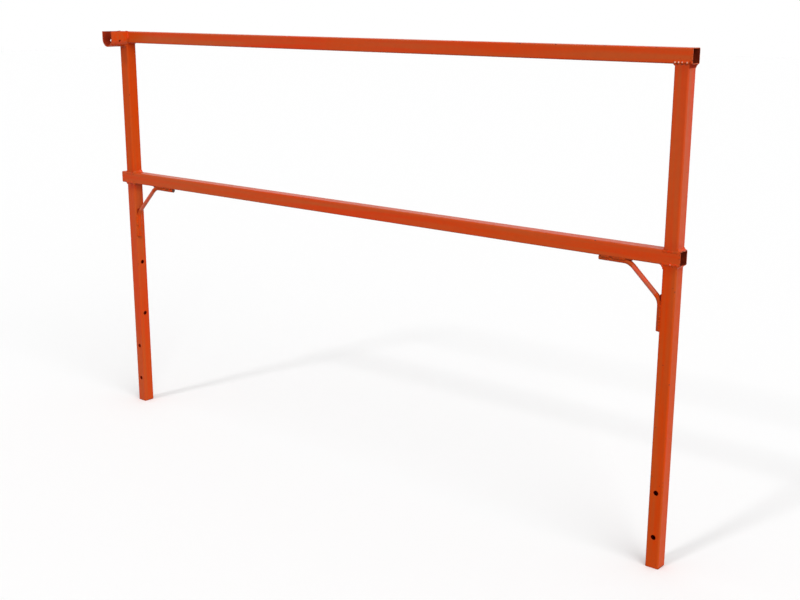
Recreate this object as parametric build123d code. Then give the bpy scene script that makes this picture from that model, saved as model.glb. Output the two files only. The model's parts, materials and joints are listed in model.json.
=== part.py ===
from build123d import *
import math
import os

# A welded side guard rail for a builder's folding trestle.
# Frame: X runs along the rails, -Y is the front, +Z is up.
# The origin lies midway between the two legs, at their bottom ends, on the mid-plane of the tubes.

# ---- driving dimensions, in millimetres ----
TUBE = 40.0              # outside size of every square tube
WALL = 2.0               # tube wall
CORNER_R = 4.0           # outside corner radius of the tube
HEIGHT = 1400.0          # top of the top rail
CLEAR_GAP = 470.0        # clear height between the two rails
POST_SPAN = 2232.0       # outer face to outer face of the posts
LEFT_OVERHANG = 28.0     # rails past the left post's outer face
RIGHT_OVERHANG = 8.0     # rails past the right post's outer face

BAR_R = 7.0              # knee brace, round bar
BEND_R = 42.0            # bend radius at the bar's centre line
BAR_Y = -8.0             # the bars are set a little towards the front

# Each brace from the inner corner of rail and leg: where its two bends turn and where it ends.
BRACES = {
    "left": {"bend_along": 108.0, "end_along": 208.0, "bend_down": 109.0, "end_down": 200.0},
    "right": {"bend_along": 101.0, "end_along": 192.0, "bend_down": 95.0, "end_down": 181.0},
}

PIN_HOLE_R = 7.5         # clearance for a 14 mm pin
LEG_PIN_HEIGHTS = (90.0, 220.0)      # through both walls, front to back
SIDE_HOLE_HEIGHTS = (350.0, 550.0)   # in each leg's inner wall only
SIDE_HOLE_R = 7.5

SOCKET_WALL = 4.0        # flat bar bent to a U
SOCKET_WIDTH = 54.0      # outside, along X
SOCKET_DEPTH = 70.0      # how far it stands out from the front face
SOCKET_RISE = 1.0        # its two walls end this far above the rail
SOCKET_SHIFT = 1.0       # its centre is this far to the right of the post's centre
SOCKET_PIN_R = 4.25      # clearance for an 8 mm pin through both its walls
SOCKET_PIN_DROP = 32.0   # pin hole below the top of the rail

WELD_LEG = 7.0           # side fillets where post meets rail
WELD_CROWN = 1.2         # how far a bead stands proud of two flush faces
WELD_FADE = 0.3          # a bead's thickness where it runs out
STITCH_LENGTH = 30.0     # each bead between bar and tube
STITCH_REACH = 11.0      # from the bar's centre to the bead's toe
STITCH_ROOT = 2.0        # the bead stops this short of the line of contact
SOCKET_WELD = 6.0        # fillets around the socket
SOCKET_WELD_RISE = 2.5   # side beads end this far above the rail
BOTTOM_WELD_ANGLE = 56.0  # how much of the U's round bottom is welded to the post

# ---- worked out from them ----
HALF = TUBE / 2
TOP_RAIL_Z = HEIGHT - HALF
TOP_RAIL_UNDER = HEIGHT - TUBE
MID_RAIL_TOP = TOP_RAIL_UNDER - CLEAR_GAP
MID_RAIL_UNDER = MID_RAIL_TOP - TUBE
MID_RAIL_Z = MID_RAIL_TOP - HALF
POST_X = {"left": HALF - POST_SPAN / 2, "right": POST_SPAN / 2 - HALF}
INWARD = {"left": 1.0, "right": -1.0}
RAIL_LEFT = -POST_SPAN / 2 - LEFT_OVERHANG
RAIL_RIGHT = POST_SPAN / 2 + RIGHT_OVERHANG
RAIL_LENGTH = RAIL_RIGHT - RAIL_LEFT
RAIL_MID_X = (RAIL_LEFT + RAIL_RIGHT) / 2
SOCKET_R = SOCKET_WIDTH / 2
SOCKET_X = POST_X["left"] + SOCKET_SHIFT
SOCKET_TOP = HEIGHT + SOCKET_RISE
SOCKET_BOTTOM = SOCKET_TOP - SOCKET_WIDTH
SOCKET_ARC_Z = SOCKET_BOTTOM + SOCKET_R
SOCKET_FRONT = -HALF - SOCKET_DEPTH
SOCKET_PIN_Z = HEIGHT - SOCKET_PIN_DROP

ACROSS_RAIL = Plane.YZ
ACROSS_POST = Plane.XY
FROM_FRONT = Plane.XZ    # its normal points towards -Y


def tube_section(size, radius):
    """Cross-section of a rolled square tube, or of its bore."""
    return RectangleRounded(size, size, radius)


def square_tube(length, across):
    """Square tube centred on the origin, along the normal of the plane across it."""
    ring = tube_section(TUBE, CORNER_R) - tube_section(TUBE - 2 * WALL, CORNER_R - WALL)
    return extrude(across * ring, length / 2, both=True)


def solid_bar(length, across):
    """The same outline without its bore, to shape the welds that lie against it."""
    return extrude(across * tube_section(TUBE, CORNER_R), length / 2, both=True)


def cross_hole(radius, x, y, z, axis, length):
    """Cutter for a round hole along the X or the Y axis."""
    rotation = (0, 90, 0) if axis == "X" else (90, 0, 0)
    return Pos(x, y, z) * Rot(*rotation) * Cylinder(radius, length)


def rail(z):
    """Horizontal rail, cut square and left open at both ends."""
    return Pos(RAIL_MID_X, 0, z) * square_tube(RAIL_LENGTH, ACROSS_RAIL)


def post(side, low, high):
    """Vertical tube between two heights."""
    return Pos(POST_X[side], 0, (low + high) / 2) * square_tube(high - low, ACROSS_POST)


def leg(side):
    """Lower leg: pin holes front to back, and two holes in the inner wall."""
    body = post(side, 0, MID_RAIL_UNDER)
    for z in LEG_PIN_HEIGHTS:
        body -= cross_hole(PIN_HOLE_R, POST_X[side], 0, z, "Y", 2 * TUBE)
    inner_face = POST_X[side] + INWARD[side] * HALF
    for z in SIDE_HOLE_HEIGHTS:
        body -= cross_hole(SIDE_HOLE_R, inner_face, 0, z, "X", TUBE / 2)
    return body


def brace_points(side):
    """Centre line of a knee brace: free end, two corners, free end."""
    brace = BRACES[side]
    face = POST_X[side] + INWARD[side] * HALF
    under_rail = MID_RAIL_UNDER - BAR_R
    beside_leg = face + INWARD[side] * BAR_R
    return [
        (face + INWARD[side] * brace["end_along"], BAR_Y, under_rail),
        (face + INWARD[side] * brace["bend_along"], BAR_Y, under_rail),
        (beside_leg, BAR_Y, MID_RAIL_UNDER - brace["bend_down"]),
        (beside_leg, BAR_Y, MID_RAIL_UNDER - brace["end_down"]),
    ]


def knee_brace(side):
    """Round bar bent twice, lying flat under the rail and flat against the leg."""
    points = brace_points(side)
    path = FilletPolyline(*points, radius=BEND_R)
    section = Plane(path @ 0, z_dir=path % 0) * Circle(BAR_R)
    return sweep(section, path=path)


def end_rail_socket():
    """Flat bar bent to a U, open upwards and forwards, with a pin hole through both walls."""
    def strap(radius):
        straight = Rectangle(2 * radius, SOCKET_TOP - SOCKET_ARC_Z, align=(Align.CENTER, Align.MIN))
        return straight + Circle(radius)

    outline = strap(SOCKET_R) - strap(SOCKET_R - SOCKET_WALL)
    body = Pos(SOCKET_X, -HALF, SOCKET_ARC_Z) * extrude(FROM_FRONT * outline, SOCKET_DEPTH)
    middle = -HALF - SOCKET_DEPTH / 2
    return body - cross_hole(SOCKET_PIN_R, SOCKET_X, middle, SOCKET_PIN_Z, "X", 2 * SOCKET_WIDTH)


def collar(low_size, low_z, high_size, high_z):
    """Tapered block between two rectangles, each given as its half sizes in X and Y."""
    low = Pos(0, 0, low_z) * Rectangle(2 * low_size[0], 2 * low_size[1])
    high = Pos(0, 0, high_z) * Rectangle(2 * high_size[0], 2 * high_size[1])
    return loft([low, high])


def joint_weld(side, z, rail_z):
    """Bead all round a post where it butts against a rail: fillets beside it, a filled groove
    along the two flush faces."""
    away = 1 if rail_z < z else -1
    at_joint = (HALF + WELD_LEG, HALF + WELD_CROWN)
    on_post = (HALF + WELD_FADE, HALF + WELD_FADE)
    on_rail = (HALF + WELD_LEG / 2, HALF + WELD_FADE)
    beside_post = collar(at_joint, 0, on_post, away * WELD_LEG)
    beside_post -= solid_bar(4 * TUBE, ACROSS_POST)
    beside_rail = collar(at_joint, 0, on_rail, -away * (CORNER_R + WELD_FADE))
    beside_rail -= Pos(0, 0, -away * HALF) * solid_bar(4 * TUBE, ACROSS_RAIL)
    return Pos(POST_X[side], 0, z) * (beside_post + beside_rail)


def stitch(direction):
    """Section of the bead between a round bar and a flat face, on the bar's front or back.
    The face is the sketch's X axis, and the bar's centre lies BAR_R below it."""
    lean = math.radians(15)
    toe = (direction * STITCH_REACH, 0)
    root = (direction * STITCH_ROOT, 0)
    inside = (direction * STITCH_ROOT, -BAR_R)
    on_bar = (direction * BAR_R * math.cos(lean), -BAR_R - BAR_R * math.sin(lean))
    wedge = make_face(Polyline(toe, root, inside, on_bar, toe))
    return wedge - Pos(0, -BAR_R) * Circle(BAR_R)


def straight_part(start, corner, other):
    """Where a brace's end run is straight: from its free end to the start of its bend."""
    start, corner, other = Vector(*start), Vector(*corner), Vector(*other)
    turn = math.radians((corner - start).get_angle(other - corner))
    along = (corner - start).normalized()
    return start, along, (corner - start).length - BEND_R * math.tan(turn / 2)


def stitches(start, corner, other, face_normal):
    """Four short beads beside one end run of a brace: front and back, at both ends of the run."""
    start, along, length = straight_part(start, corner, other)
    seat = start + face_normal * BAR_R
    beads = []
    for first in (0, length - STITCH_LENGTH):
        plane = Plane(seat + along * first, x_dir=(0, 1, 0), z_dir=along)
        up = 1 if plane.y_dir.dot(face_normal) > 0 else -1
        for direction in (-1, 1):
            section = stitch(direction)
            if up < 0:
                section = mirror(section, Plane.XZ)
            beads.append(extrude(plane * section, STITCH_LENGTH))
    return Compound(children=beads)


def brace_rail_welds(side):
    free_end, bend, other, _ = brace_points(side)
    return stitches(free_end, bend, other, Vector(0, 0, 1))


def brace_leg_welds(side):
    _, other, bend, free_end = brace_points(side)
    return stitches(free_end, bend, other, Vector(-INWARD[side], 0, 0))


def ground_flush(bead):
    """The socket sits over this joint, so the bead's front is ground flush with the faces."""
    proud = Box(2 * TUBE, TUBE, 2 * TUBE)
    return bead - Pos(POST_X["left"], -TUBE, TOP_RAIL_UNDER) * proud


def socket_side_weld(direction):
    """Upright fillet between one wall of the socket and the rail, its top lapping over the rail."""
    wall = SOCKET_X + direction * SOCKET_R
    toe = wall + direction * SOCKET_WELD
    back = -HALF + 1.5 * CORNER_R
    section = make_face(Polyline(
        (wall, -HALF - SOCKET_WELD), (toe, -HALF), (toe, back), (wall, back),
        (wall, -HALF - SOCKET_WELD)))
    low = SOCKET_ARC_Z
    bead = extrude(Pos(0, 0, low) * section, HEIGHT + SOCKET_WELD_RISE - low)
    return bead - Pos(RAIL_MID_X, 0, TOP_RAIL_Z) * solid_bar(RAIL_LENGTH, ACROSS_RAIL)


def socket_bottom_weld():
    """Curved fillet between the socket's round bottom and the front of the post."""
    section = Plane.YZ * make_face(Polyline(
        (-HALF, -SOCKET_R), (-HALF, -SOCKET_R - SOCKET_WELD), (-HALF - SOCKET_WELD, -SOCKET_R),
        (-HALF, -SOCKET_R)))
    swung = Rot(0, -BOTTOM_WELD_ANGLE / 2, 0) * section
    return Pos(SOCKET_X, 0, SOCKET_ARC_Z) * revolve(swung, Axis.Y, BOTTOM_WELD_ANGLE)


nodes = {
    "top_rail": rail(TOP_RAIL_Z),
    "mid_rail": rail(MID_RAIL_Z),
    "end_rail_socket": end_rail_socket(),
    "socket_left_weld": socket_side_weld(-1),
    "socket_right_weld": socket_side_weld(1),
    "socket_bottom_weld": socket_bottom_weld(),
}
for side in ("left", "right"):
    nodes[side + "_upper_post"] = post(side, MID_RAIL_TOP, TOP_RAIL_UNDER)
    nodes[side + "_leg"] = leg(side)
    nodes[side + "_knee_brace"] = knee_brace(side)
    nodes[side + "_top_rail_weld"] = joint_weld(side, TOP_RAIL_UNDER, TOP_RAIL_Z)
    nodes[side + "_mid_rail_upper_weld"] = joint_weld(side, MID_RAIL_TOP, MID_RAIL_Z)
    nodes[side + "_mid_rail_lower_weld"] = joint_weld(side, MID_RAIL_UNDER, MID_RAIL_Z)
    nodes[side + "_brace_rail_welds"] = brace_rail_welds(side)
    nodes[side + "_brace_leg_welds"] = brace_leg_welds(side)

nodes["left_top_rail_weld"] = ground_flush(nodes["left_top_rail_weld"])

os.makedirs("parts", exist_ok=True)
for name, shape in nodes.items():
    export_step(shape, os.path.join("parts", name + ".step"))
    print(name, "solids", len(shape.solids()), "volume", round(shape.volume))
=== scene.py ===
import json
import math
import random

import bpy
from mathutils import Matrix, Vector


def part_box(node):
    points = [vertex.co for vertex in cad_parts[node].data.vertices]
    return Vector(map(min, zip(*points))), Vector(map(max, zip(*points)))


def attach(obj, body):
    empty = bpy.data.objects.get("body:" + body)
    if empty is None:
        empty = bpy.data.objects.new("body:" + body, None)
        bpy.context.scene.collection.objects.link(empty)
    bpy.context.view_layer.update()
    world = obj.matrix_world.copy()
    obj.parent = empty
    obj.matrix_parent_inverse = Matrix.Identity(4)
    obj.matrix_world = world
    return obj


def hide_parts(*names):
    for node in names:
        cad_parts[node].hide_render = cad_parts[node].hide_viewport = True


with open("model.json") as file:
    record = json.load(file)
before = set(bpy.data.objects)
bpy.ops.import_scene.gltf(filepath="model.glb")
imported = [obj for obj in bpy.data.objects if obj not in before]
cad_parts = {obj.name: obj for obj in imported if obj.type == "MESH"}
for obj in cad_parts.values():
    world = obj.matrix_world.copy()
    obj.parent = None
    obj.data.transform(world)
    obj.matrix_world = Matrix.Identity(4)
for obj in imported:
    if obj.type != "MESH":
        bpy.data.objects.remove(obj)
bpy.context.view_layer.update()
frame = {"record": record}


# ---- The two rails ----
# Lengths of rolled 40 mm square steel tube with a 2 mm wall, sawn square and left open at both
# ends, where they run past the posts. The enamel was sprayed on after welding, so it lies thin
# on the rounded edges and is scuffed along them.
TUBE_WALL = 0.002
TUBE_CORNER = 0.004
CORNER_STEPS = 6
SAW_BURR = 0.0004
END_ON = 0.9                         # an end face looks at least this much along its tube
BEVEL_ABOVE = math.radians(50)       # edges sharper than this are broken
SMOOTH_BELOW = math.radians(35)      # faces that meet at less than this are shaded as one
FLAT_WEIGHT = 60                     # how much the flats outweigh the corners in the shading

ENAMEL = (0.60, 0.054, 0.0006, 1.0)
ENAMEL_RED = (0.65, 0.036, 0.0002, 1.0)
ENAMEL_DULL = (0.50, 0.080, 0.012, 1.0)
# pale orange: a painted highlight on the tubes' end faces and on the glinting weld tips
ENAMEL_HIGHLIGHT = (0.68, 0.105, 0.030, 1.0)
ENAMEL_THIN = (0.33, 0.052, 0.012, 1.0)
# darkened enamel by the welds: soot from the welding, and painted shade by the joints
ENAMEL_SCORCHED_SHADED = (0.34, 0.013, 0.0004, 1.0)
BARE_STEEL = (0.05, 0.026, 0.018, 1.0)
# dark steel inside the rails and posts, darkened further as painted shade
TUBE_INSIDE_SHADED = (0.13, 0.012, 0.003, 1.0)
INSIDE_LIGHTER = 1.7                 # the best covered patches inside, against the barest

# the sizes of the coat's patches, as cells in a metre
DRIFT_SCALE = 2.6
STREAK_ACROSS, STREAK_ALONG = 30.0, 1.2
MOTTLE_SCALE = 60.0
NIB_SCALE = 42.0
RUB_SCALE, RUB_PLACES = 95.0, 7.0
SOOT_SHADE_SCALE = 38.0
KNOCK_SCALE = 150.0
PEEL_SCALE, WAVE_SCALE = 420.0, 22.0

# how strongly each of them shows
DRIFT = STREAKED = 0.8
NIB_DARK = 0.75
NIB_RARE = 0.72                      # this share of the places for a nib stays clean
EDGE_THIN = 0.18
# how strongly the end faces' painted highlight shows
SAWN_END_HIGHLIGHT = 0.75
KNOCKED = 0.8
CHIP_ROUGH = 0.3

# where the soot with its painted shade and the knocks are thickest and where they end, from a weld
# and from a tube's end
SOOT_SHADE_FULL, SOOT_SHADE_GONE = 0.006, 0.036
KNOCK_FULL, KNOCK_GONE = 0.0008, 0.0045


def add_node(tree, kind, inputs=None, **settings):
    """Adds a node; each input is a value or the socket that feeds it."""
    made = tree.nodes.new(kind)
    for key, value in settings.items():
        setattr(made, key, value)
    for key, value in (inputs or {}).items():
        if isinstance(value, bpy.types.NodeSocket):
            tree.links.new(value, made.inputs[key])
        else:
            made.inputs[key].default_value = value
    return made


def new_finish(name):
    """A new material, its nodes and its shader."""
    material = bpy.data.materials.new(name)
    material.use_nodes = True
    tree = material.node_tree
    return material, tree, tree.nodes["Principled BSDF"]


def maths(tree, operation, first, second=0.0):
    return add_node(tree, "ShaderNodeMath", {0: first, 1: second}, operation=operation).outputs[0]


def times(tree, first, second):
    return maths(tree, "MULTIPLY", first, second)


def ramp(tree, value, low, high):
    """Stretches a value so that low and high become 0 and 1."""
    return add_node(tree, "ShaderNodeMapRange", {
        "Value": value, "From Min": low, "From Max": high}).outputs[0]


def grain(tree, vector, scale, detail=2.0):
    return add_node(tree, "ShaderNodeTexNoise", {
        "Vector": vector, "Scale": scale, "Detail": detail}).outputs[0]


def patches(tree, vector, scale, detail, low, high):
    """Noise whose middle is stretched, so that it falls into patches."""
    return ramp(tree, grain(tree, vector, scale, detail), low, high)


def blend_colours(tree, amount, first, second):
    mix = add_node(tree, "ShaderNodeMix", data_type="RGBA")
    for socket, value in ((mix.inputs[0], amount), (mix.inputs[6], first), (mix.inputs[7], second)):
        if isinstance(value, bpy.types.NodeSocket):
            tree.links.new(value, socket)
        else:
            socket.default_value = value
    return mix.outputs[2]


def bump(tree, height, strength, distance, under=None, invert=False):
    """Roughens a surface by a height in metres, over the bump under it."""
    inputs = {"Height": height, "Strength": strength, "Distance": distance}
    if under is not None:
        inputs["Normal"] = under
    return add_node(tree, "ShaderNodeBump", inputs, invert=invert).outputs[0]


def tube_wear(tree, place, spot, colour, chips, along, ends, welds):
    """The coat's colour and chips on a tube: thin on the rounded edges, pale on the sawn end faces
    as a painted highlight, darker by the welds with soot and painted shade, rubbed along the edges
    and knocked at the ends."""
    # the flats look along one axis, and the rounded edges don't
    facing = add_node(tree, "ShaderNodeVectorMath", {0: place.outputs["Normal"]},
                      operation="ABSOLUTE").outputs[0]
    parts = add_node(tree, "ShaderNodeSeparateXYZ", {0: facing}).outputs
    most = maths(tree, "MAXIMUM", maths(tree, "MAXIMUM", parts[0], parts[1]), parts[2])
    edge = ramp(tree, most, 0.97, 0.80)
    # faces that look along the tube, its end faces, are painted paler as a painted highlight
    sawn = ramp(tree, parts[along], 0.3, 0.7)
    colour = blend_colours(tree, times(tree, edge, EDGE_THIN), colour, ENAMEL_THIN)
    colour = blend_colours(tree, times(tree, sawn, SAWN_END_HIGHLIGHT), colour, ENAMEL_HIGHLIGHT)

    rubbed = times(tree, patches(tree, spot, RUB_SCALE, 4.0, 0.60, 0.68),
                   patches(tree, spot, RUB_PLACES, 2.0, 0.45, 0.60))
    chips = maths(tree, "MAXIMUM", chips, times(tree, rubbed, edge))

    here = add_node(tree, "ShaderNodeSeparateXYZ", {0: place.outputs["Object"]}).outputs[along]
    # darker by each weld: soot, and painted shade by the joints
    for weld, how_dark in welds:
        away = maths(tree, "ABSOLUTE", maths(tree, "SUBTRACT", here, weld))
        soot_and_shade = times(tree, ramp(tree, away, SOOT_SHADE_GONE, SOOT_SHADE_FULL),
                     patches(tree, spot, SOOT_SHADE_SCALE, 4.0, 0.32, 0.62))
        colour = blend_colours(tree, times(tree, soot_and_shade, how_dark), colour, ENAMEL_SCORCHED_SHADED)

    middle, half = (ends[0] + ends[1]) / 2, (ends[1] - ends[0]) / 2
    from_middle = maths(tree, "ABSOLUTE", maths(tree, "SUBTRACT", here, middle))
    knocked = times(tree, ramp(tree, from_middle, half - KNOCK_GONE, half - KNOCK_FULL),
                    patches(tree, spot, KNOCK_SCALE, 3.0, 0.50, 0.60))
    return colour, maths(tree, "MAXIMUM", chips, times(tree, knocked, KNOCKED))


def enamel(name, shift, along=None, ends=None, welds=(), gloss=(0.30, 0.42), shine=0.13,
           thin=0.15):
    """Semi-gloss orange enamel, its pattern shifted so that no two pieces match. Along is a
    tube's axis, which its streaks and worn edges follow, and ends are where the tube starts and
    stops. Welds are the places along it where the coat darkens with soot and painted shade, and
    how much. Thin is how much of the steel's dark shows through the coat."""
    material, tree, shader = new_finish(name)
    place = add_node(tree, "ShaderNodeTexCoord")
    spot = add_node(tree, "ShaderNodeMapping", {
        "Vector": place.outputs["Object"], "Location": shift}).outputs[0]
    drawn_out = [STREAK_ACROSS] * 3
    if along is not None:
        drawn_out[along] = STREAK_ALONG
    streak_at = add_node(tree, "ShaderNodeMapping", {"Vector": spot, "Scale": drawn_out}).outputs[0]

    drift = patches(tree, spot, DRIFT_SCALE, 2.0, 0.35, 0.65)
    streaks = patches(tree, streak_at, 2.0, 4.0, 0.36, 0.64)
    mottle = patches(tree, spot, MOTTLE_SCALE, 5.0, 0.3, 0.7)
    colour = blend_colours(tree, times(tree, drift, DRIFT), ENAMEL, ENAMEL_RED)
    colour = blend_colours(tree, times(tree, streaks, STREAKED), colour, ENAMEL_DULL)
    colour = blend_colours(tree, times(tree, mottle, thin), colour, ENAMEL_THIN)

    # dust nibs and small chips, anywhere on the piece
    cells = add_node(tree, "ShaderNodeTexVoronoi", {"Vector": spot, "Scale": NIB_SCALE})
    nibs = times(tree, ramp(tree, cells.outputs["Distance"], 0.07, 0.045),
                 maths(tree, "GREATER_THAN", cells.outputs["Color"], NIB_RARE))
    chips = times(tree, nibs, NIB_DARK)
    if along is not None:
        colour, chips = tube_wear(tree, place, spot, colour, chips, along, ends, welds)
    colour = blend_colours(tree, chips, colour, BARE_STEEL)

    sheen = add_node(tree, "ShaderNodeMapRange", {
        "Value": mottle, "To Min": gloss[0], "To Max": gloss[1]}).outputs[0]
    rough = maths(tree, "ADD", sheen, times(tree, chips, CHIP_ROUGH))
    peel = bump(tree, grain(tree, spot, PEEL_SCALE), 0.35, 0.0002)
    wavy = bump(tree, grain(tree, spot, WAVE_SCALE), 0.5, 0.0006, peel)
    flaked = bump(tree, chips, 0.6, 0.0002, wavy, invert=True)
    tree.links.new(colour, shader.inputs["Base Color"])
    tree.links.new(rough, shader.inputs["Roughness"])
    tree.links.new(flaked, shader.inputs["Normal"])
    shader.inputs["Specular IOR Level"].default_value = shine
    return material


def inside_paint(name, colour):
    """Mill-dark steel with only a dusting of overspray, as inside the tubes. The colour it is given
    is darker still as painted shade inside the rails, posts and socket, and lighter as painted
    light inside the legs.
    """
    material, tree, shader = new_finish(name)
    place = add_node(tree, "ShaderNodeTexCoord").outputs["Object"]
    dusting = patches(tree, place, 55.0, 5.0, 0.35, 0.75)
    lighter = tuple(channel * INSIDE_LIGHTER for channel in colour[:3]) + (1.0,)
    tree.links.new(blend_colours(tree, dusting, colour, lighter), shader.inputs["Base Color"])
    grit = bump(tree, grain(tree, place, 300.0), 0.5, 0.0003)
    tree.links.new(grit, shader.inputs["Normal"])
    shader.inputs["Roughness"].default_value = 0.65
    shader.inputs["Specular IOR Level"].default_value = 0.1
    return material


def paint_inside(piece, material, middle, along):
    """Gives the second material to every face that looks at the line through the middle."""
    piece.data.materials.append(material)
    for face in piece.data.polygons:
        inward = middle - face.center
        inward[along] = 0
        if abs(face.normal[along]) < 0.5 and face.normal.dot(inward) > 0:
            face.material_index = 1


def pick(*pieces):
    """Selects only these pieces and makes the first of them active."""
    bpy.ops.object.select_all(action="DESELECT")
    for piece in pieces:
        piece.select_set(True)
    bpy.context.view_layer.objects.active = pieces[0]


def settle():
    """Moves a new primitive's place and size into its mesh."""
    bpy.ops.object.transform_apply(location=True, rotation=True, scale=True)
    return bpy.context.active_object


def start_cube(name, low, high):
    """A block between two corners, alone in the selection."""
    bpy.ops.object.select_all(action="DESELECT")
    bpy.ops.mesh.primitive_cube_add(size=1, location=(low + high) / 2, scale=high - low)
    block = settle()
    block.name = block.data.name = name
    return block


def select_edges(block, wanted):
    """Enters edit mode with only those edges selected whose two ends pass the test."""
    bpy.context.tool_settings.mesh_select_mode = (False, True, False)
    mesh = block.data
    for part in (mesh.polygons, mesh.edges, mesh.vertices):
        part.foreach_set("select", [False] * len(part))
    for edge in mesh.edges:
        first, second = (mesh.vertices[i].co for i in edge.vertices)
        edge.select = wanted(first, second)
    bpy.ops.object.mode_set(mode="EDIT")


def round_bar(name, low, high, along):
    """A block between two corners whose four long edges are rounded as a rolled tube's are."""
    block = start_cube(name, low, high)
    half_length = 0.5 * (high[along] - low[along])
    select_edges(block, lambda first, second: abs(first[along] - second[along]) > half_length)
    bpy.ops.mesh.bevel(offset=TUBE_CORNER, segments=CORNER_STEPS, affect="EDGES")
    bpy.ops.object.mode_set(mode="OBJECT")
    return block


def use_modifier(piece, kind, **settings):
    """Adds a modifier and applies it at once."""
    bpy.context.view_layer.objects.active = piece
    modifier = piece.modifiers.new(kind.title(), kind)
    for key, value in settings.items():
        setattr(modifier, key, value)
    bpy.ops.object.modifier_apply(modifier=modifier.name)


def square_tube(name, low, high, along):
    """Opens both ends of the rounded block and gives it a wall."""
    tube = round_bar(name, low, high, along)
    bpy.ops.object.mode_set(mode="EDIT")
    bpy.ops.mesh.select_all(action="DESELECT")
    bpy.ops.object.mode_set(mode="OBJECT")
    for face in tube.data.polygons:
        face.select = abs(face.normal[along]) > END_ON
    bpy.ops.object.mode_set(mode="EDIT")
    bpy.ops.mesh.select_mode(type="FACE")
    bpy.ops.mesh.delete(type="ONLY_FACE")
    bpy.ops.object.mode_set(mode="OBJECT")
    use_modifier(tube, "SOLIDIFY", thickness=TUBE_WALL, offset=-1, use_even_offset=True)
    return tube


def finish_steel(piece, burr, steps):
    """Breaks the cut edges and keeps the flats looking flat between the rounded corners."""
    use_modifier(piece, "BEVEL", width=burr, segments=steps, limit_method="ANGLE",
                 angle_limit=BEVEL_ABOVE)
    pick(piece)
    bpy.ops.object.shade_smooth_by_angle(angle=SMOOTH_BELOW)
    use_modifier(piece, "WEIGHTED_NORMAL", keep_sharp=True, weight=FLAT_WEIGHT)


def put_in_place(piece, material, slot, *nodes):
    """Dresses a piece and hangs it on the frame in place of its solids."""
    piece.data.materials.clear()
    piece.data.materials.append(material)
    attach(piece, "root")
    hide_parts(*nodes)


# the insides of the rails and posts: dark steel with painted shade
tube_inside_shaded = inside_paint("tube_inside_shaded", TUBE_INSIDE_SHADED)
for number, node in enumerate(("top_rail", "mid_rail")):
    low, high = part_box(node)
    rail = square_tube(node + "_tube", low, high, 0)
    finish_steel(rail, SAW_BURR, 2)
    put_in_place(rail, enamel(node + "_enamel", (3.1 * number, 0.7, 1.9), 0, (low.x, high.x)),
                 "tube_paint", node)
    paint_inside(rail, tube_inside_shaded, (low + high) / 2, 0)


# ---- Upper posts and legs ----
# The same tube cut to length and welded between and below the rails. Each leg has two pin holes
# bored front to back for fixing it to the trestle, and two more in its inner wall only.
SIDE_HOLE_R = 0.0075
SIDE_HOLE_HEIGHTS = (0.350, 0.550)
HOLE_SIDES = 40
POST_SHINE = {"left": 0.05, "right": 0.13}     # the left post's coat dried flatter
LEG_SHINE = {"left": 0.13, "right": 0.06}
# how dark the enamel is by the welds, as soot and painted shade; the left leg's strong darkening
# under the mid rail is mostly painted shade
POST_SOOT_SHADE = 0.25
LEG_SOOT_SHADE = {"left": 0.85, "right": 0.35}
LEG_INSIDE_LIT = (0.40, 0.012, 0.002, 1.0)         # paint inside the legs, made lighter as painted light seen through the holes
pins = {mount["name"]: mount for mount in frame["record"]["mounts"]}


def bore(piece, middle, radius, length, axis):
    """Cuts a round hole along X or Y."""
    turn = (0, math.pi / 2, 0) if axis == "X" else (math.pi / 2, 0, 0)
    bpy.ops.object.select_all(action="DESELECT")
    bpy.ops.mesh.primitive_cylinder_add(
        vertices=HOLE_SIDES, radius=radius, depth=length, location=middle, rotation=turn)
    drill = bpy.context.active_object
    use_modifier(piece, "BOOLEAN", operation="DIFFERENCE", solver="EXACT", object=drill)
    bpy.data.objects.remove(drill)


def bore_for_pin(piece, name, length, axis):
    pin = pins[name]
    bore(piece, pin["pos_m"], pin["dims"]["r_mm"] / 1000, length, axis)


# the legs' insides: paint, lightened as painted light in the holes
leg_inside_lit = inside_paint("leg_inside_lit", LEG_INSIDE_LIT)
for side, inward in (("left", 1), ("right", -1)):
    low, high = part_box(side + "_upper_post")
    post = square_tube(side + "_upper_post_tube", low, high, 2)
    finish_steel(post, SAW_BURR, 2)
    put_in_place(post, enamel(side + "_upper_post_enamel", (1.3, inward * 2.2, 0.4), 2,
                              (low.z, high.z), ((low.z, POST_SOOT_SHADE), (high.z, POST_SOOT_SHADE)),
                              shine=POST_SHINE[side]),
                 "tube_paint", side + "_upper_post")
    paint_inside(post, tube_inside_shaded, (low + high) / 2, 2)

    low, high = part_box(side + "_leg")
    leg = square_tube(side + "_leg_tube", low, high, 2)
    for level in ("lower", "upper"):
        bore_for_pin(leg, side + "_leg_" + level + "_pin", 2 * (high.y - low.y), "Y")
    inner_face = (high if inward > 0 else low).x
    for height in SIDE_HOLE_HEIGHTS:
        bore(leg, (inner_face, 0, height), SIDE_HOLE_R, (high.x - low.x) / 2, "X")
    finish_steel(leg, SAW_BURR, 2)
    put_in_place(leg, enamel(side + "_leg_enamel", (0.9, inward * 1.1, 2.7), 2,
                             (low.z, high.z), ((high.z, LEG_SOOT_SHADE[side]),), shine=LEG_SHINE[side]),
                 "tube_paint", side + "_leg")
    paint_inside(leg, leg_inside_lit, (low + high) / 2, 2)


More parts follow.
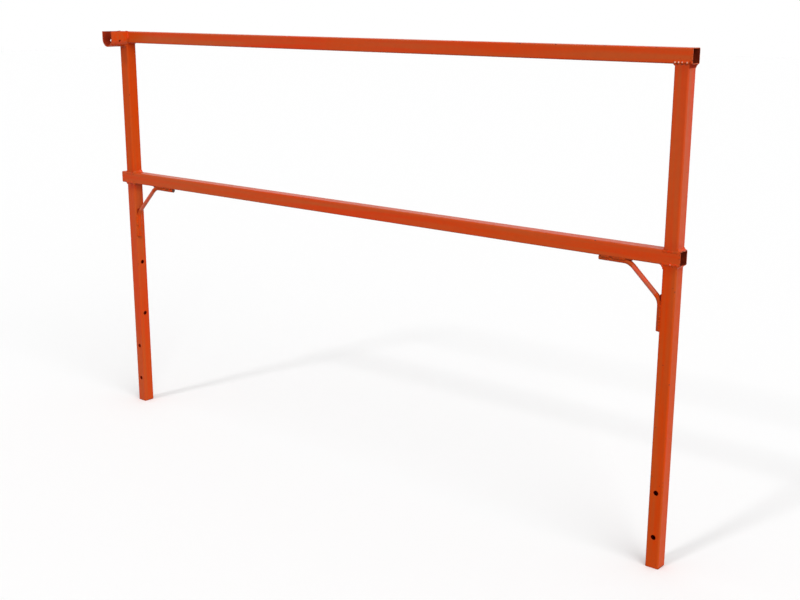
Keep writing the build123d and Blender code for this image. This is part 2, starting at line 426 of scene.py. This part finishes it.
# ---- Knee braces ----
# One piece of 14 mm round bar for each corner, bent twice, lying flat under the mid rail and
# flat against the leg. The bends are cold ones, and the ends are sawn off square.
BEND_RADIUS = 0.042
BEND_STEPS = 10
BAR_SIDES = 28
BRACE_BENDS = {"left": (0.108, 0.109), "right": (0.101, 0.095)}   # along the rail, down the leg
CUT_BURR = 0.0007
SAME_SPOT = 0.00001        # points closer than this are merged
SAWN_STEEL = (0.17, 0.060, 0.036, 1.0)
SAWN_STEEL_DARK = (0.07, 0.036, 0.028, 1.0)
SAW_MARKS = (150.0, 150.0, 3000.0)
RAIL_COAT = 0.028          # how far past the start of a bend the flat run's duller coat goes
LEG_COAT = 0.042


def brace_corners(side, inward):
    """Centre line of a brace: its free end under the rail, two corners, its free end by the leg."""
    low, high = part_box(side + "_knee_brace")
    radius = (high.y - low.y) / 2
    middle = (high.y + low.y) / 2
    face, tip = (low.x, high.x) if inward > 0 else (high.x, low.x)
    along, down = BRACE_BENDS[side]
    beside_leg = face + inward * radius
    under_rail = high.z - radius
    points = [Vector((tip, middle, under_rail)),
              Vector((face + inward * along, middle, under_rail)),
              Vector((beside_leg, middle, high.z - down)),
              Vector((beside_leg, middle, low.z))]
    return points, radius


def bend_of(before, corner, after):
    """Where a bend starts, its centre, its axis and its angle."""
    came = (corner - before).normalized()
    goes = (after - corner).normalized()
    turn = came.angle(goes)
    start = corner - came * BEND_RADIUS * math.tan(turn / 2)
    axis = came.cross(goes).normalized()
    centre = start + axis.cross(came) * BEND_RADIUS
    return start, centre, axis, turn


def knee_brace(side, inward):
    """A ring is drawn out along the run, spun round each bend and drawn out again."""
    points, radius = brace_corners(side, inward)
    bpy.ops.object.select_all(action="DESELECT")
    bpy.ops.mesh.primitive_circle_add(
        vertices=BAR_SIDES, radius=radius, location=points[0], rotation=(0, math.pi / 2, 0))
    brace = settle()
    brace.name = brace.data.name = side + "_knee_brace_bar"
    bpy.ops.object.mode_set(mode="EDIT")
    bpy.ops.mesh.select_mode(type="EDGE")
    bpy.ops.mesh.select_all(action="SELECT")
    now = points[0]
    for before, corner, after in zip(points, points[1:], points[2:]):
        start, centre, axis, turn = bend_of(before, corner, after)
        bpy.ops.mesh.extrude_region_move(TRANSFORM_OT_translate={"value": start - now})
        bpy.ops.mesh.spin(steps=BEND_STEPS, angle=turn, center=centre, axis=-axis)
        now = centre + Matrix.Rotation(turn, 3, axis) @ (start - centre)
    bpy.ops.mesh.extrude_region_move(TRANSFORM_OT_translate={"value": points[3] - now})
    bpy.ops.mesh.select_all(action="SELECT")
    bpy.ops.mesh.remove_doubles(threshold=SAME_SPOT)
    bpy.ops.mesh.select_all(action="DESELECT")
    bpy.ops.mesh.select_non_manifold()
    bpy.ops.mesh.fill_holes(sides=0)
    bpy.ops.mesh.select_all(action="SELECT")
    bpy.ops.mesh.normals_make_consistent(inside=False)
    bpy.ops.object.mode_set(mode="OBJECT")
    use_modifier(brace, "BEVEL", width=CUT_BURR, segments=2, limit_method="ANGLE",
                 angle_limit=BEVEL_ABOVE)
    bpy.ops.object.shade_smooth_by_angle(angle=SMOOTH_BELOW)
    return brace


def sawn_steel():
    """The bars' cut ends: dark brown steel with stains and saw marks."""
    material, tree, shader = new_finish("sawn_bar_end")
    place = add_node(tree, "ShaderNodeTexCoord").outputs["Object"]
    stain = patches(tree, place, 260.0, 4.0, 0.40, 0.62)
    tree.links.new(blend_colours(tree, stain, SAWN_STEEL, SAWN_STEEL_DARK),
                   shader.inputs["Base Color"])
    drawn_out = add_node(tree, "ShaderNodeMapping", {"Vector": place, "Scale": SAW_MARKS})
    marks = bump(tree, grain(tree, drawn_out.outputs[0], 1.0), 0.6, 0.0002)
    tree.links.new(marks, shader.inputs["Normal"])
    shader.inputs["Roughness"].default_value = 0.55
    shader.inputs["Specular IOR Level"].default_value = 0.3
    return material


bar_end = sawn_steel()
for side, inward in (("left", 1), ("right", -1)):
    brace = knee_brace(side, inward)
    put_in_place(brace,
                 enamel(side + "_brace_enamel", (inward * 3.3, 0.2, 1.1), gloss=(0.22, 0.34),
                        shine=0.50, thin=0.50),
                 "brace_paint", side + "_knee_brace")
    brace.data.materials.append(bar_end)
    brace.data.materials.append(enamel(side + "_brace_flat_enamel", (0.9, inward * 2.2, 1.6),
                                       gloss=(0.35, 0.50), shine=0.08, thin=0.40))
    points, radius = brace_corners(side, inward)
    for end, corner, far, past in ((points[0], points[1], points[2], RAIL_COAT),
                                   (points[3], points[2], points[1], LEG_COAT)):
        outward = (end - corner).normalized()
        run = (bend_of(end, corner, far)[0] - end).length
        for face in brace.data.polygons:
            off = face.center - end
            if face.normal.dot(outward) > END_ON and off.length < radius:
                face.material_index = 1
            elif -off.dot(outward) < run + past:
                face.material_index = 2


# ---- Socket for the end rail ----
# A strap of 4 mm flat bar bent to a U, open upwards and forwards, welded to the front of the left
# joint. A pin through the hole in its two walls holds the rail that is dropped into it.
STRAP_WALL = 0.004
SOCKET_STEPS = 28
# painted shade: the darker colour of the socket's inner skin
SOCKET_INSIDE_SHADED = (0.19, 0.012, 0.0015, 1.0)
FRONT_EDGE = -0.6          # the strap's front edges look forwards at least this much
LOWER_EDGE = 0.001         # only the wall's lower edge is this near the level of the bend's centre


def end_rail_socket():
    """One wall's outer skin, its lower edge spun half round and drawn up, then given a wall."""
    low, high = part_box("end_rail_socket")
    middle = (low + high) / 2
    radius = middle.x - low.x
    arc_z = low.z + radius
    rise = high.z - arc_z
    bpy.ops.object.select_all(action="DESELECT")
    bpy.ops.mesh.primitive_plane_add(
        size=1, location=(low.x, middle.y, (arc_z + high.z) / 2), rotation=(0, math.pi / 2, 0))
    strap = bpy.context.active_object
    strap.name = strap.data.name = "end_rail_socket_strap"
    strap.scale = (rise, high.y - low.y, 1)
    settle()
    select_edges(strap, lambda first, second: max(first.z, second.z) < arc_z + LOWER_EDGE)
    bpy.ops.mesh.spin(steps=SOCKET_STEPS, angle=math.pi, axis=(0, 1, 0),
                      center=(middle.x, middle.y, arc_z))
    bpy.ops.mesh.extrude_region_move(TRANSFORM_OT_translate={"value": (0, 0, rise)})
    bpy.ops.mesh.select_all(action="SELECT")
    bpy.ops.mesh.remove_doubles(threshold=SAME_SPOT)
    bpy.ops.object.mode_set(mode="OBJECT")
    first = strap.data.polygons[0]
    if first.normal.x * (first.center.x - middle.x) < 0:
        bpy.ops.object.mode_set(mode="EDIT")
        bpy.ops.mesh.select_all(action="SELECT")
        bpy.ops.mesh.flip_normals()
        bpy.ops.object.mode_set(mode="OBJECT")
    use_modifier(strap, "SOLIDIFY", thickness=STRAP_WALL, offset=-1, use_even_offset=True)
    bore_for_pin(strap, "end_rail_pin", 2 * (high.x - low.x), "X")
    finish_steel(strap, CUT_BURR, 3)
    return strap


socket_low, socket_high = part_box("end_rail_socket")
socket_mid = (socket_low + socket_high) / 2
socket_radius = socket_mid.x - socket_low.x
socket_arc_z = socket_low.z + socket_radius
socket = end_rail_socket()
put_in_place(socket, enamel("socket_enamel", (0.4, 1.7, 3.9), shine=0.2), "socket_paint",
             "end_rail_socket")
# the socket's inner skin gets the darker colour, as painted shade
paint_inside(socket, inside_paint("socket_inside", SOCKET_INSIDE_SHADED),
             Vector((socket_mid.x, 0, socket_arc_z)), 1)
socket.data.materials.append(enamel("socket_edge_enamel", (2.4, 0.6, 1.3), shine=0.1, thin=0.9))
for face in socket.data.polygons:
    if face.normal.y < FRONT_EDGE:
        face.material_index = 2


# ---- Weld beads ----
# Hand-laid beads where post and rail meet: overlapping ripples, thicker wherever the welder
# paused. They fill the corner on each side of the post and the groove along its front and back,
# with beads of spatter about them, and were sprayed over with the rest.
RIPPLE_PITCH = 0.0033
RIPPLE_OVERLAP = 0.95                # half a ripple's length, as a share of the pitch
WANDER = 0.0003                      # how far a ripple may lie off its line
UNEVEN = (0.95, 1.05)
STEADY = 0.95                        # a ripple's size where the welder didn't pause
WIDEST = 1.25                        # a lump grows taller than this, but no wider
PAUSES = (0.08, 0.34, 0.60, 0.94)    # where along a row the welder paused
GRAIN = 0.0006
BEAD_SHINE = 0.25

# pale metallic colour for the painted glints on the weld lumps' tips
GLINT_STEEL = (0.86, 0.66, 0.55, 1.0)
# dark red and black smeared on welds: painted shade under the overhang and in the brace wedges, and
# the darker socket weld tops
SOOT_SHADE_RED = (0.36, 0.022, 0.004, 1.0)
SOOT_SHADE_BLACK = (0.15, 0.010, 0.003, 1.0)
# brighter reds for a painted highlight on one weld lump
LUMP_HIGHLIGHT_RED = (0.66, 0.042, 0.008, 1.0)
LUMP_HIGHLIGHT_PALE = (0.74, 0.100, 0.035, 1.0)

# a fillet's one bulging row, against its reach along the two faces
FILLET_SUNK, FILLET_WIDE, FILLET_TALL = 0.44, 0.78, 0.81
HOLLOW_FROM = 0.0065                 # wider fillets come out hollow, laid in three passes
HOLLOW_MIDDLE = 0.62                 # the middle pass, against the fillet
TOE_AT, TOE_WIDE, TOE_TALL = 0.66, 0.34, 0.12     # the pass along each face
FILLET_PAUSE = (1.18, PAUSES)
INNER_LUMP = {"left_mid_rail_upper_weld": (1.5, (0.80,))}   # one big lump, painted brighter red as a painted highlight

BACK_ROW = (0.0034, 0.0010, 1.05, PAUSES)
ROW_INSET = 0.0026                   # fillets stop this short of the post's front and back
ROW_SUNK = 0.0003
ROW_OVERRUN = 0.001
GROOVE_RISE = {"right_top_rail_weld": 0.0042}     # how far up the rail the front row lies
GROOVE_RISE_USUAL = 0.0030

SPATTER = 9
SPATTER_SIZE = (0.0004, 0.0009)
SPATTER_ON_RAIL = (0.007, 0.017)     # how far from the joint it flew, onto the rail
SPATTER_ON_POST = (0.005, 0.016)     # and onto the post
SPATTER_LEFT, SPATTER_RIGHT = 0.006, 0.004     # how far past the post's sides, on the rail
SPATTER_INSIDE = 0.006               # how far inside them, on the post
TRIM_OVERLAP = 0.0005                # joins the two solids that trim a bead

SHADED_OUTSIDE = ("right_top_rail_weld",)       # painted shade on the weld under this overhang
SHADED_PAST = 0.0006
# where that lump's painted highlight starts: past the post, and behind its front
LUMP_HIGHLIGHT_PAST, LUMP_HIGHLIGHT_BEHIND = 0.0004, 0.006
GLINT_FROM = 1.45                   # only lumps that swell more than this get a painted glint on their tips
GLINT_DOWN_TO = 0.90

# how far each fillet, inner and outer, reaches along the rail and along the post; then the front
# row: half width, height, how much it swells at a pause, and where it pauses
JOINT_BEADS = {
    "left_top_rail_weld": ((0.0045, 0.0045), (0.0045, 0.0045), None),
    "left_mid_rail_upper_weld": ((0.0072, 0.0080), (0.0048, 0.0048),
                                 (0.0036, 0.0013, 1.3, PAUSES)),
    "left_mid_rail_lower_weld": ((0.0045, 0.0045), (0.0062, 0.0062),
                                 (0.0036, 0.0012, 1.2, PAUSES)),
    "right_top_rail_weld": ((0.0042, 0.0042), (0.0072, 0.0100),
                            (0.0036, 0.0014, 1.8, (0.08, 0.30, 0.54, 0.85))),
    "right_mid_rail_upper_weld": ((0.0034, 0.0034), (0.0066, 0.0072),
                                  (0.0036, 0.0012, 1.2, PAUSES)),
    "right_mid_rail_lower_weld": ((0.0095, 0.0125), (0.0066, 0.0066),
                                  (0.0040, 0.0013, 1.6, (0.56,))),
}


def lay_ripples(ripples, row, luck):
    """Copies one ripple along a row, each a little differently, and gathers the copies. A row is
    its start, its end, the way out of the steel, a ripple's half width and height, how much
    bigger the ripples are where the welder paused, and where that was."""
    start, end, out, wide, tall, pause, pauses = row
    travel = (end - start).normalized()
    out = (out - travel * out.dot(travel)).normalized()
    across = out.cross(travel)
    count = max(2, round((end - start).length / RIPPLE_PITCH))
    paused = {round(part * count) for part in pauses}
    for number in range(count + 1):
        swell = (pause if number in paused else STEADY) * luck.uniform(*UNEVEN)
        centre = start.lerp(end, number / count)
        centre += travel * luck.uniform(-WANDER, WANDER) + across * luck.uniform(-WANDER, WANDER)
        shape = Matrix((travel * RIPPLE_PITCH * RIPPLE_OVERLAP * max(1, swell ** 0.5),
                        across * wide * min(swell, WIDEST), out * tall * swell))
        bpy.ops.mesh.primitive_ico_sphere_add(subdivisions=3, radius=1)
        ripple = bpy.context.active_object
        ripple.data.transform(Matrix.Translation(centre) @ shape.transposed().to_4x4())
        ripples.append(ripple)


def weld_bead(name, rows, node, finish, steel=None, spatter=(), marks=()):
    """Lays every row, melts the ripples into one skin and trims it where the steel already is.
    Each mark is another finish and a test of the places that have it."""
    luck = random.Random(name)
    ripples = []
    for row in rows:
        lay_ripples(ripples, row, luck)
    pick(*ripples)
    bpy.ops.object.join()
    bead = ripples[0]
    bead.name = bead.data.name = name
    use_modifier(bead, "REMESH", mode="VOXEL", voxel_size=GRAIN)
    use_modifier(bead, "SMOOTH", factor=0.5, iterations=2)
    if steel:
        use_modifier(bead, "BOOLEAN", operation="DIFFERENCE", solver="EXACT", object=steel)
    drops = []
    for place in spatter:
        size = luck.uniform(*SPATTER_SIZE)
        bpy.ops.mesh.primitive_ico_sphere_add(subdivisions=2, radius=size, location=place)
        drops.append(settle())
    pick(bead, *drops)
    if drops:
        bpy.ops.object.join()
    bpy.ops.object.shade_smooth()
    put_in_place(bead, finish, "weld_paint", node)
    for number, (mark, found) in enumerate(marks):
        bead.data.materials.append(mark)
        for face in bead.data.polygons:
            if found(face.center):
                face.material_index = number + 1


def smeared(name, first, second, metallic, roughness, shine=BEAD_SHINE):
    """Two colours smeared into each other, for lumps whose finish differs from the rest."""
    material, tree, shader = new_finish(name)
    place = add_node(tree, "ShaderNodeTexCoord").outputs["Object"]
    smear = patches(tree, place, 900.0, 3.0, 0.35, 0.70)
    tree.links.new(blend_colours(tree, smear, first, second), shader.inputs["Base Color"])
    scratches = bump(tree, grain(tree, place, 2200.0), 0.4, 0.0001)
    tree.links.new(scratches, shader.inputs["Normal"])
    shader.inputs["Metallic"].default_value = metallic
    shader.inputs["Roughness"].default_value = roughness
    shader.inputs["Specular IOR Level"].default_value = shine
    return material


def fillet_rows(corner, beside, below, half_run, reach, lumps):
    """Fills the corner between two faces that run off towards beside and below. A narrow fillet
    is one bulging row, and a wide one has a lower row along each face as well."""
    run = Vector((0, half_run, 0))
    hollow = max(reach) > HOLLOW_FROM
    shrink = HOLLOW_MIDDLE if hollow else 1.0
    wide, deep = (side_reach * shrink for side_reach in reach)
    slope = math.hypot(wide, deep)
    out = (beside * deep + below * wide).normalized()
    middle = corner + (beside * wide + below * deep) / 2 - out * FILLET_SUNK * wide * deep / slope
    lines = [(middle, out, slope * FILLET_WIDE, FILLET_TALL * wide * deep / slope)]
    if hollow:
        for along_face, off_face, far in ((beside, below, reach[0]), (below, beside, reach[1])):
            lines.append((corner + along_face * far * TOE_AT, off_face, far * TOE_WIDE,
                          far * TOE_TALL))
    return [(middle - run, middle + run, out, wide, tall, *lumps)
            for middle, out, wide, tall in lines]


def joint_rows(side, node, joint_z, rail_up):
    """Rows round the end of a post: fillets on both sides, a filled groove at front and back."""
    low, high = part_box(side + "_upper_post")
    inner_reach, outer_reach, front_row = JOINT_BEADS[side + node]
    rows = []
    for face, out_x, inner_side in ((low.x, -1, "right"), (high.x, 1, "left")):
        reach, lumps = outer_reach, FILLET_PAUSE
        if side == inner_side:
            reach, lumps = inner_reach, INNER_LUMP.get(side + node, FILLET_PAUSE)
        rows += fillet_rows(Vector((face, 0, joint_z)), Vector((out_x, 0, 0)),
                            Vector((0, 0, -rail_up)), high.y - ROW_INSET, reach, lumps)
    rise = GROOVE_RISE.get(side + node, GROOVE_RISE_USUAL)
    for face, out_y, size in ((low.y, -1, front_row), (high.y, 1, BACK_ROW)):
        if size:
            line = Vector((0, face - out_y * ROW_SUNK, joint_z + rail_up * rise))
            rows.append((line + Vector((low.x - ROW_OVERRUN, 0, 0)),
                         line + Vector((high.x + ROW_OVERRUN, 0, 0)),
                         Vector((0, out_y, 0)), *size))
    return rows


def joint_spatter(side, node, joint_z, rail_up):
    """Places for beads of spatter on the flat fronts of the rail and the post."""
    if not JOINT_BEADS[side + node][2]:
        return []
    low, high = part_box(side + "_upper_post")
    luck = random.Random(side + node + "_spatter")
    places = []
    for number in range(SPATTER):
        if number % 3:
            places.append((luck.uniform(low.x - SPATTER_LEFT, high.x + SPATTER_RIGHT), low.y,
                           joint_z + rail_up * luck.uniform(*SPATTER_ON_RAIL)))
        else:
            places.append((luck.uniform(low.x + SPATTER_INSIDE, high.x - SPATTER_INSIDE), low.y,
                           joint_z - rail_up * luck.uniform(*SPATTER_ON_POST)))
    return places


def joint_steel(upright, rail, rail_up):
    """Post or leg and rail as one solid block, to trim a bead with."""
    low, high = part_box(upright)
    overlap = Vector((0, 0, TRIM_OVERLAP))
    if rail_up > 0:
        block = round_bar("joint_steel", low, high + overlap, 2)
    else:
        block = round_bar("joint_steel", low - overlap, high, 2)
    bar = round_bar("rail_bar", *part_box(rail), 0)
    use_modifier(block, "BOOLEAN", operation="UNION", solver="EXACT", object=bar)
    bpy.data.objects.remove(bar)
    return block


weld_enamel = enamel("weld_enamel", (2.0, 2.9, 0.3), gloss=(0.20, 0.32), shine=0.09, thin=0.35)
# painted glints: pale metallic tips on the biggest lumps
glint_weld = smeared("glint_weld", GLINT_STEEL, ENAMEL_HIGHLIGHT, 0.8, 0.3)
# dark red-black on welds: painted shade under the overhang and in the brace wedges, and darker
# socket weld tops
soot_shade_weld = smeared("soot_shade_weld", SOOT_SHADE_RED, SOOT_SHADE_BLACK, 0.0, 0.75, 0.06)
# painted highlight: a brighter, glossier red on one lump
highlight_lump_paint = smeared("highlight_lump_paint", LUMP_HIGHLIGHT_RED, LUMP_HIGHLIGHT_PALE, 0.0, 0.12)

top_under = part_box("top_rail")[0].z
mid_under, mid_over = (corner.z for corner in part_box("mid_rail"))
for side in ("left", "right"):
    joints = (("_top_rail_weld", top_under, 1, "_upper_post", "top_rail"),
              ("_mid_rail_upper_weld", mid_over, -1, "_upper_post", "mid_rail"),
              ("_mid_rail_lower_weld", mid_under, 1, "_leg", "mid_rail"))
    for node, joint_z, rail_up, upright, rail in joints:
        steel = joint_steel(side + upright, rail, rail_up)
        low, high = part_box(side + upright)
        front_row = JOINT_BEADS[side + node][2]
        marks = []
        # the weld under the right top overhang gets painted shade
        if side + node in SHADED_OUTSIDE:
            marks.append((soot_shade_weld, lambda spot: spot.x > high.x + SHADED_PAST))
        # the big inner lump gets its painted highlight
        if side + node in INNER_LUMP:
            marks.append((highlight_lump_paint, lambda spot: (spot.x > high.x + LUMP_HIGHLIGHT_PAST
                                                     and spot.y > LUMP_HIGHLIGHT_BEHIND)))
        # the tips of the biggest front lumps get painted glints
        if front_row and front_row[2] > GLINT_FROM:
            lump_front = low.y + ROW_SUNK - front_row[1] * front_row[2] * GLINT_DOWN_TO
            marks.append((glint_weld, lambda spot: spot.y < lump_front))
        weld_bead(side + node.replace("_weld", "_bead"), joint_rows(side, node, joint_z, rail_up),
                  side + node, weld_enamel, steel, joint_spatter(side, node, joint_z, rail_up),
                  marks)
        bpy.data.objects.remove(steel)


# ---- Stitch welds on the braces ----
# Short beads along each flat run of a brace, front and back of the bar, near its end and up to its
# bend, where the weld fills the wedge behind the bar. A thin root run joins them.
STITCH = 0.030
STITCH_FROM = {"rail": 0.012, "leg": 0.003}
STITCH_OVERRUN = 0.004
STITCH_BEAD = (0.0048, 0.0029, 1.15, PAUSES)
ROOT_BEAD = (0.0036, 0.0016, 1.0, PAUSES)
WEDGE_BEAD = (0.0066, 0.0030, 1.0, PAUSES)
STITCH_LINE = (0.0074, 0.0024)                 # out from the bar's centre line, in from the tube
ROOT_LINE = (0.0060, 0.0020)
STITCH_LEAN = 0.75                             # how much the beads face away from the tube
WEDGE = {"rail": 0.021, "leg": 0.029}          # how far the weld goes on past the bend's start
# past this far from the bend's start, the wedge weld gets painted shade
SHADED_WEDGE = 0.016
STITCH_FINISH = {
    "rail": enamel("rail_stitch_enamel", (0.2, 1.4, 2.1), gloss=(0.35, 0.5), shine=0.03, thin=1.1),
    "leg": enamel("leg_stitch_enamel", (1.2, 0.4, 2.7), gloss=(0.35, 0.5), shine=0.03, thin=0.3)}


def stitch_rows(free_end, bend_start, radius, face_side, first, wedge):
    """Rows along one flat run of a brace, against the tube that lies towards face_side."""
    along = (bend_start - free_end).normalized()
    length = (bend_start - free_end).length
    rows = []
    for out_y in (-1, 1):
        out = (Vector((0, out_y, 0)) - face_side * STITCH_LEAN).normalized()
        line, root = (free_end + face_side * (radius - deep) + Vector((0, out_y * aside, 0))
                      for aside, deep in (STITCH_LINE, ROOT_LINE))
        for start, end in ((first, STITCH), (length - STITCH, length + STITCH_OVERRUN)):
            rows.append((line + along * start, line + along * end, out, *STITCH_BEAD))
        rows.append((root + along * first, root + along * length, out, *ROOT_BEAD))
    outside = BEND_RADIUS + radius
    gap = outside - math.sqrt(outside ** 2 - wedge ** 2)
    face = bend_start + face_side * radius
    rows.append((face - along * STITCH_OVERRUN, face + along * wedge - face_side * gap / 2,
                 -face_side, *WEDGE_BEAD))
    return rows


for side, inward in (("left", 1), ("right", -1)):
    points, bar_radius = brace_corners(side, inward)
    rail_bend = bend_of(points[0], points[1], points[2])[0]
    leg_bend = bend_of(points[3], points[2], points[1])[0]
    runs = (("rail", points[0], rail_bend, Vector((0, 0, 1))),
            ("leg", points[3], leg_bend, Vector((-inward, 0, 0))))
    for run, free_end, bend_start, face_side in runs:
        along = (bend_start - free_end).normalized()
        rows = stitch_rows(free_end, bend_start, bar_radius, face_side, STITCH_FROM[run],
                           WEDGE[run])
        # the wedge weld in the V past each bend gets painted shade
        weld_bead(side + "_brace_" + run + "_stitches", rows, side + "_brace_" + run + "_welds",
                  STITCH_FINISH[run],
                  marks=[(soot_shade_weld, lambda spot: (spot - bend_start).dot(along) > SHADED_WEDGE)])


# ---- Welds round the socket ----
# An upright fillet beside each wall of the socket, its top lapping over the rail, and a curved one
# under its round bottom, where it meets the post.
SOCKET_BEAD = (0.0042, 0.0021, 1.15, PAUSES)
SOCKET_BEAD_OUT = 0.0012
SOCKET_BEAD_ENDS = (0.002, 0.0042)             # it stops this far inside its solid, below and above
SOCKET_LUMP = (0.0048, 0.0026, 1.0, PAUSES)
LUMP_SHIFT = {"left": 0.008, "right": -0.006}  # along the rail, towards the socket's middle
LUMP_FRONT, LUMP_BACK = 0.0022, 0.0018         # its reach before and behind the socket's back edge
LUMP_UNDER = 0.0001                            # how far its crest stays below the solid's top
DARK_WELD_TOP = 0.0022
BOTTOM_ANGLE = math.radians(56)
BOTTOM_ROWS = 6
BOTTOM_BEAD_OUT = 0.001

for side, out_x in (("left", -1), ("right", 1)):
    low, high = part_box("socket_" + side + "_weld")
    wall = socket_mid.x + out_x * socket_radius
    out = Vector((out_x, -1, 0)).normalized()
    corner = Vector((wall, socket_high.y, 0)) + out * SOCKET_BEAD_OUT
    top = Vector((wall + LUMP_SHIFT[side], socket_high.y, high.z - SOCKET_LUMP[1] - LUMP_UNDER))
    rows = [(corner + Vector((0, 0, low.z + SOCKET_BEAD_ENDS[0])),
             corner + Vector((0, 0, high.z - SOCKET_BEAD_ENDS[1])), out, *SOCKET_BEAD),
            (top - Vector((0, LUMP_FRONT, 0)), top + Vector((0, LUMP_BACK, 0)),
             Vector((0, 0, 1)), *SOCKET_LUMP)]
    # the tops of the socket's welds get the dark red-black finish
    weld_bead("socket_" + side + "_bead", rows, "socket_" + side + "_weld", weld_enamel,
              marks=[(soot_shade_weld, lambda spot: spot.z > high.z - DARK_WELD_TOP)])

middle = Vector((socket_mid.x, socket_high.y, socket_arc_z))
corners = []
for number in range(BOTTOM_ROWS + 1):
    angle = BOTTOM_ANGLE * (number / BOTTOM_ROWS - 0.5)
    away = Vector((math.sin(angle), 0, -math.cos(angle)))
    corners.append((middle + away * (socket_radius + BOTTOM_BEAD_OUT), away))
forward = Vector((0, -BOTTOM_BEAD_OUT, 0))
rows = [(start + forward, end + forward, (away + Vector((0, -1, 0))).normalized(), *SOCKET_BEAD)
        for (start, away), (end, _) in zip(corners, corners[1:])]
weld_bead("socket_bottom_bead", rows, "socket_bottom_weld", weld_enamel)


# ---- Floor and light ----
# A plain pale floor that keeps the soft shadow, an even white surround, and one large lamp with a
# small one beside it for the glints.
FLOOR_SIZE = 60
FLOOR_DROP = 0.0005                  # the floor lies this far below the legs
PAPER_LIT = (0.30, 0.30, 0.30, 1)    # what the floor sends back to the frame
PAPER_SEEN = (0.93, 0.93, 0.93, 1)
SURROUND_LIT, SURROUND_SEEN = 0.66, 1.0
# the way to each lamp, its strength and how many degrees it spreads over
BROAD_LIGHT = ((0.842, -0.368, 0.395), 2.15, 50)
SMALL_LIGHT = ((-0.12, -0.72, 0.68), 0.65, 8)


def looked_at(tree):
    """1 where a surface is seen, straight or in gloss or glass, and 0 where it only lights."""
    ray = add_node(tree, "ShaderNodeLightPath").outputs
    seen = maths(tree, "MAXIMUM", ray["Is Camera Ray"], ray["Is Glossy Ray"])
    return maths(tree, "MAXIMUM", seen, ray["Is Transmission Ray"])


def sunlight(name, towards, strength, spread):
    lamp = bpy.data.lights.new(name, "SUN")
    lamp.energy = strength
    lamp.angle = math.radians(spread)
    holder = bpy.data.objects.new(name, lamp)
    bpy.context.collection.objects.link(holder)
    holder.rotation_euler = Vector(towards).to_track_quat("Z", "Y").to_euler()


bpy.ops.object.select_all(action="DESELECT")
bpy.ops.mesh.primitive_plane_add(size=FLOOR_SIZE, location=(0, 0, -FLOOR_DROP))
floor = bpy.context.active_object
floor.name = "floor"
paper, paper_tree, paper_shader = new_finish("floor_paper")
paper_tree.links.new(blend_colours(paper_tree, looked_at(paper_tree), PAPER_LIT, PAPER_SEEN),
                     paper_shader.inputs["Base Color"])
paper_shader.inputs["Roughness"].default_value = 0.9
paper_shader.inputs["Specular IOR Level"].default_value = 0.0
floor.data.materials.append(paper)

world = bpy.data.worlds.new("studio")
bpy.context.scene.world = world
world.use_nodes = True
sky = world.node_tree
backing = sky.nodes["Background"]
strength = add_node(sky, "ShaderNodeMapRange", {
    "Value": looked_at(sky), "To Min": SURROUND_LIT, "To Max": SURROUND_SEEN})
sky.links.new(strength.outputs[0], backing.inputs["Strength"])
backing.inputs["Color"].default_value = (1, 1, 1, 1)

sunlight("broad_light", *BROAD_LIGHT)
sunlight("small_light", *SMALL_LIGHT)


# ---- Camera ----
# Standing at the right front, a little above the top rail, looking down across the length of it.
CAMERA_AT = (2.4296, -2.7430, 1.5093)
LOOKS_DOWN, LOOKS_LEFT, TIPS_OVER = 14.2846, 39.3125, 0.1674     # degrees
FOCAL_LENGTH, SENSOR_WIDTH = 52.87, 36                           # millimetres

lens = bpy.data.cameras.new("camera")
lens.lens = FOCAL_LENGTH
lens.sensor_width = SENSOR_WIDTH
camera = bpy.data.objects.new("camera", lens)
bpy.context.collection.objects.link(camera)
camera.location = CAMERA_AT
camera.rotation_euler = (math.radians(90 - LOOKS_DOWN), 0, math.radians(LOOKS_LEFT))
camera.rotation_euler.rotate_axis("Z", math.radians(TIPS_OVER))
bpy.context.scene.camera = camera
bpy.context.scene.view_settings.view_transform = "Standard"

bpy.context.view_layer.update()
